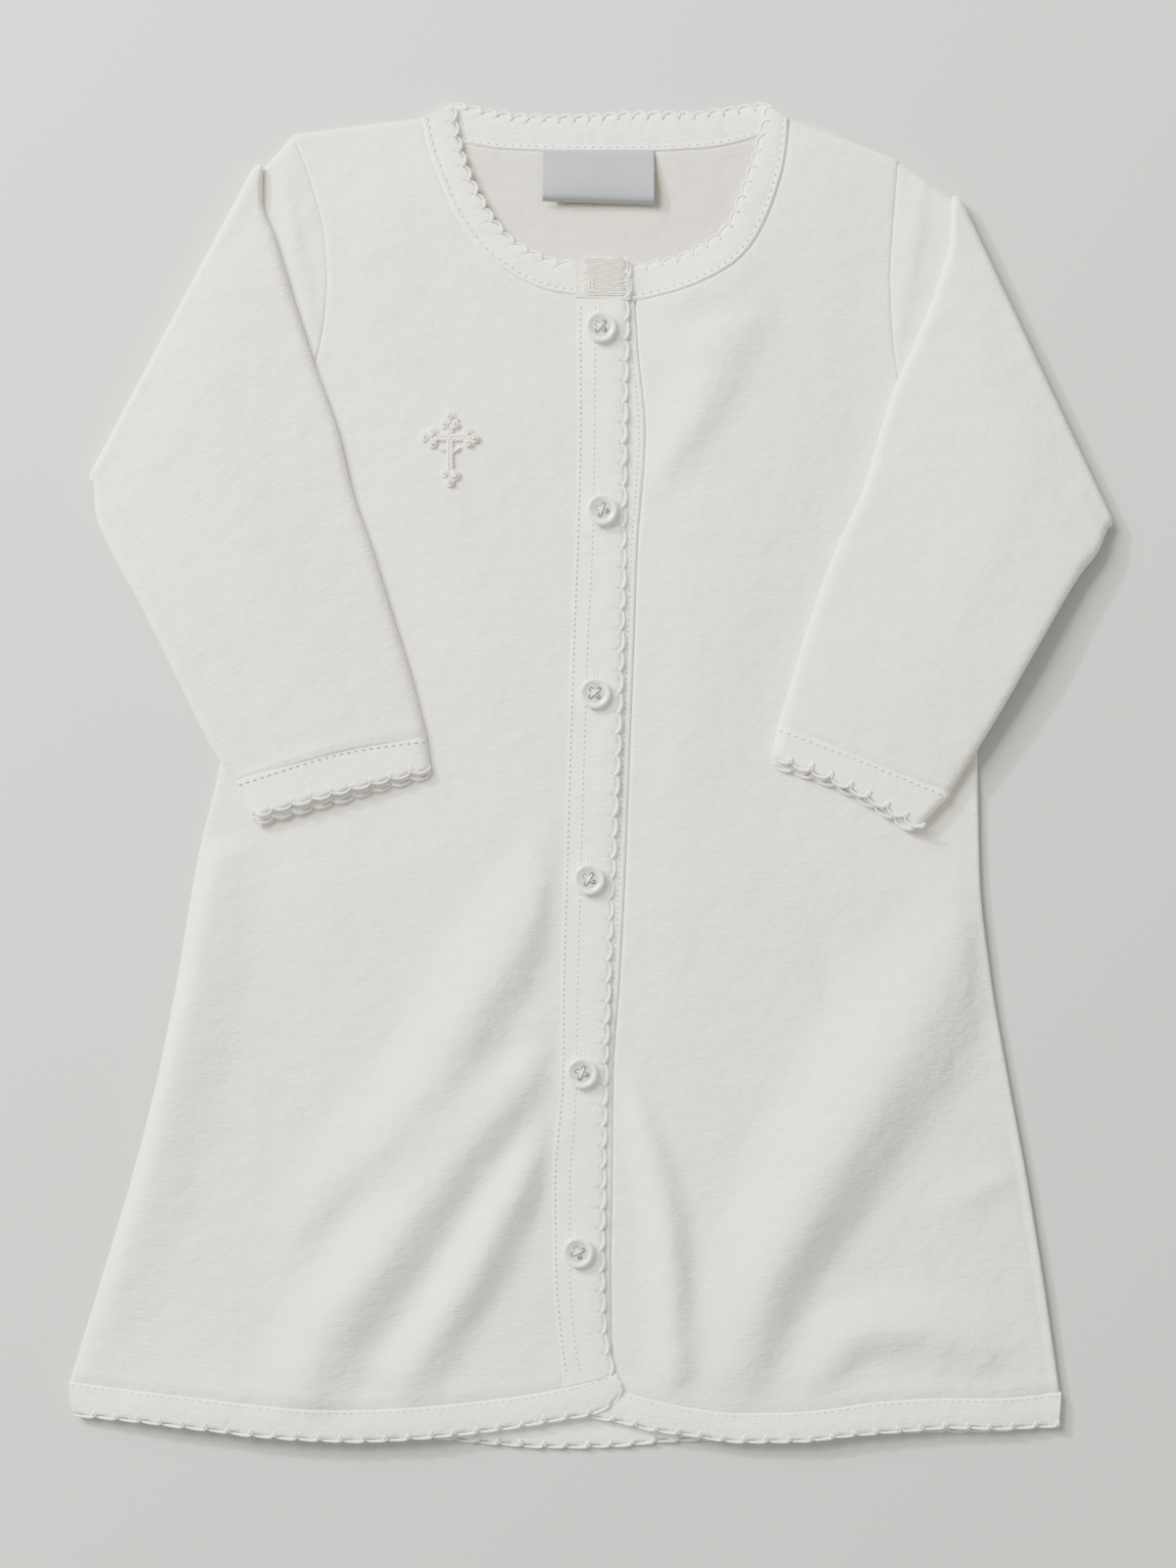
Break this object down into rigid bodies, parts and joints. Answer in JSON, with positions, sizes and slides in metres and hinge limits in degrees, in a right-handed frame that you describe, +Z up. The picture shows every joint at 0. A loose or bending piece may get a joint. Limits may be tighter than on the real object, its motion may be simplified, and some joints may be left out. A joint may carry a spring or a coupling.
{
  "type": "baby daygown",
  "caption": "Baby's long-sleeved knit daygown with a buttoned front and shell-stitched bands, laid on its back with both sleeves folded over the front.",
  "frame": {"origin": "middle of the underside of the box round the laid-out gown, on the surface it lies on", "axes": "+Z up from the surface, +Y from the hem towards the neck, +X towards the wearer's left sleeve"},
  "size_m": [0.3734, 0.4822, 0.0107],
  "materials": {
    "knit": "soft matt interlock knit",
    "rib": "doubled knit band with shell stitch",
    "satin": "woven satin",
    "thread": "glossy embroidery thread",
    "button": "pearly"
  },
  "bodies": {
    "root": {"back": "knit", "front_right": "knit", "front_left": "knit", "sleeve_right": "knit", "sleeve_left": "knit", "cuff_right": "rib", "cuff_left": "rib", "neckband_right": "rib", "neckband_left": "rib", "neckband_back": "rib", "neck_tab": "rib", "placket_right": "rib", "placket_left": "rib", "hem_right": "rib", "hem_left": "rib", "hem_back": "rib", "button_1": "button", "button_2": "button", "button_3": "button", "button_4": "button", "button_5": "button", "button_6": "button", "label": "satin", "embroidery": "thread"}
  },
  "joints": []
}
